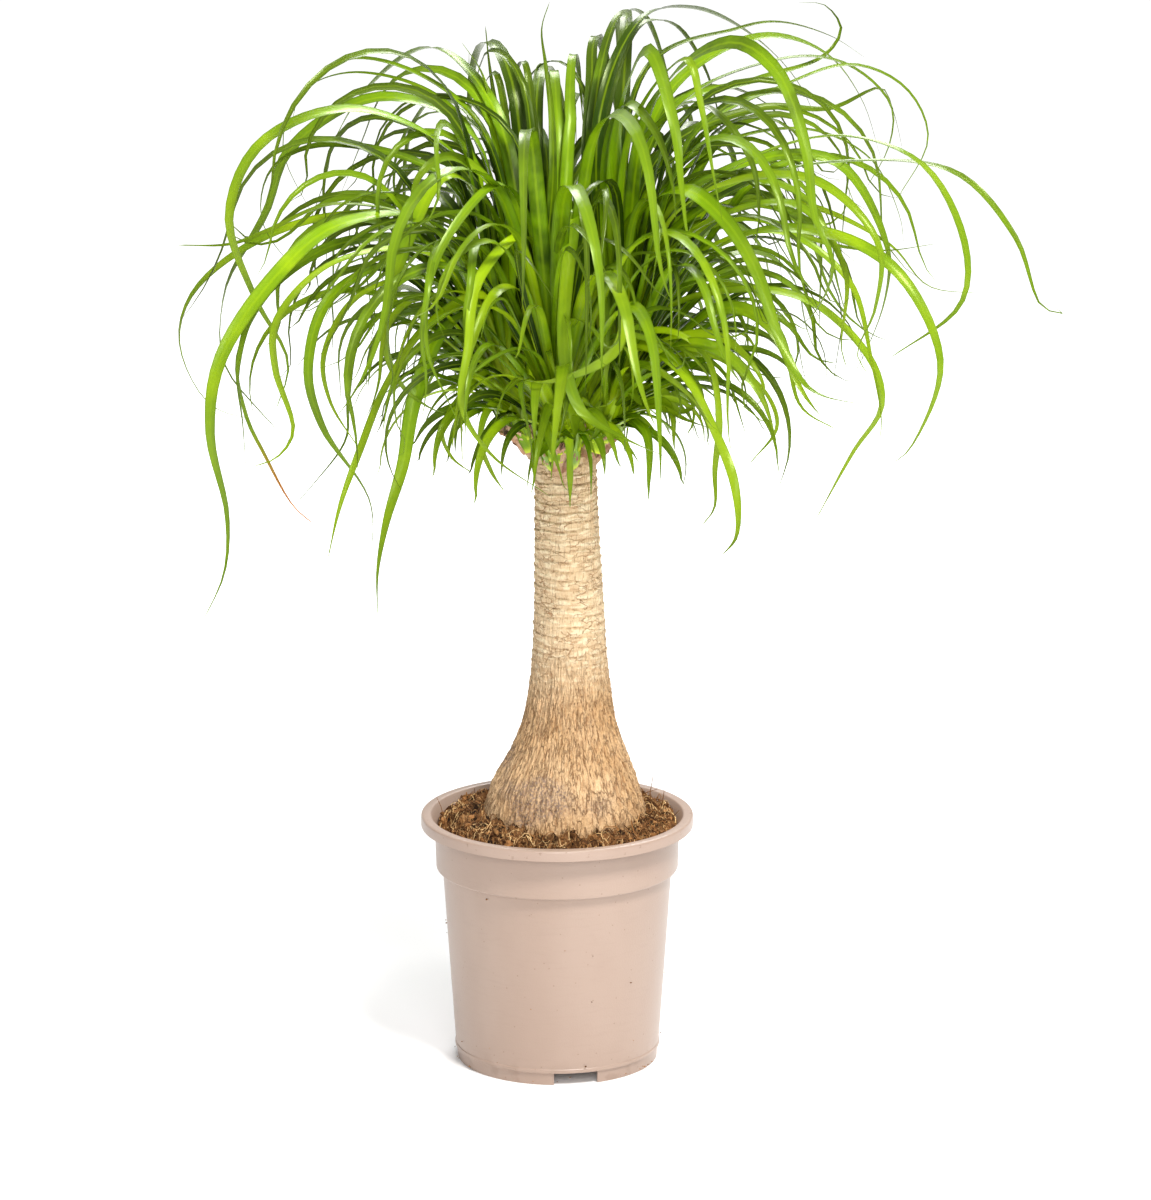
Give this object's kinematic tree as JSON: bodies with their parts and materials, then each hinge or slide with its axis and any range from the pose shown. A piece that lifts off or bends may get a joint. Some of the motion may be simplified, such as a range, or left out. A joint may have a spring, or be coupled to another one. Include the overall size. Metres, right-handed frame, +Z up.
{
  "type": "potted ponytail palm",
  "caption": "Upright house plant in a tapered plastic nursery pot: a swollen ringed trunk with leafy heads of long arching strap leaves.",
  "frame": {"origin": "centre of the underside of the pot's centre pad, on the surface that the pot stands on", "axes": "+Z up along the pot's axis, -Y towards the front of the plant, +X to its right as seen from the front"},
  "size_m": [0.6533, 0.6224, 0.8158],
  "materials": {
    "pot_plastic": "satin",
    "potting_mix": "matte",
    "bark": "matte",
    "leaf": "satin"
  },
  "bodies": {
    "root": {"pot": "pot_plastic", "soil": "potting_mix", "trunk": "bark", "head_front": "leaf", "head_right": "leaf", "head_back_right": "leaf", "head_back_left": "leaf", "head_left": "leaf"}
  },
  "joints": []
}
